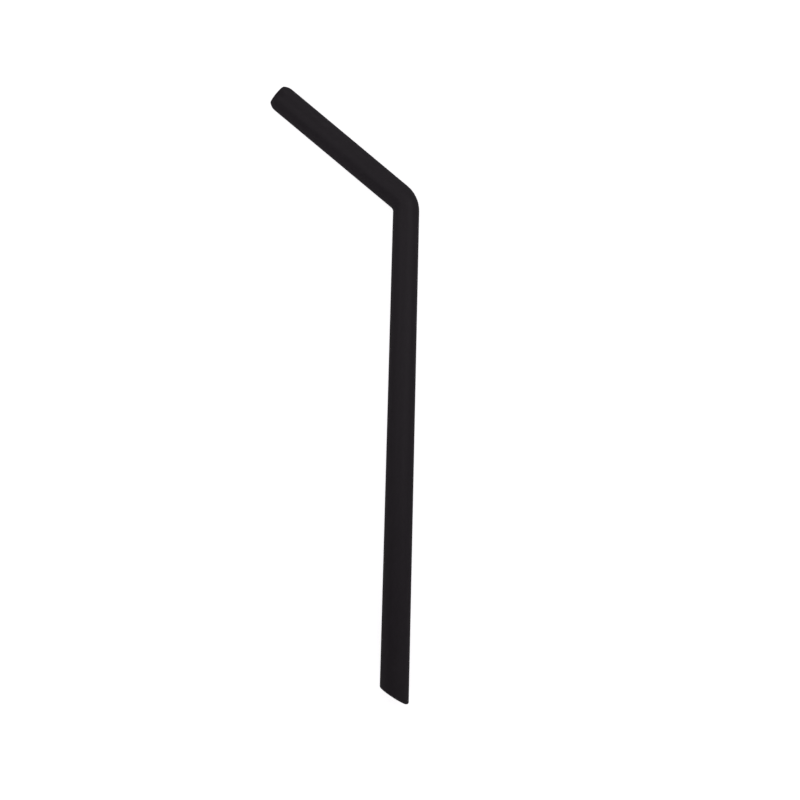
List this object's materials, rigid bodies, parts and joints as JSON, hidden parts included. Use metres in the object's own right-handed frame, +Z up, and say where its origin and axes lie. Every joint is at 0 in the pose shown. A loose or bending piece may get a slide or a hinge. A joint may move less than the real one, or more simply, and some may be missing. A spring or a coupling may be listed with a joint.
{
  "type": "bent silicone straw",
  "caption": "Reusable bent drinking straw in black silicone: a hollow tube with a short angled arm, a rounded mouth, and a long stem cut askew at the tip.",
  "frame": {"origin": "on the floor that the straw lies on, under the middle of its outline", "axes": "+Z up from the floor, +Y along the stem from the tip towards the bend, with the arm pointing to -X and +Y"},
  "size_m": [0.057, 0.229, 0.011],
  "materials": {
    "silicone": "matte"
  },
  "bodies": {
    "root": {"straw": "silicone"}
  },
  "joints": []
}
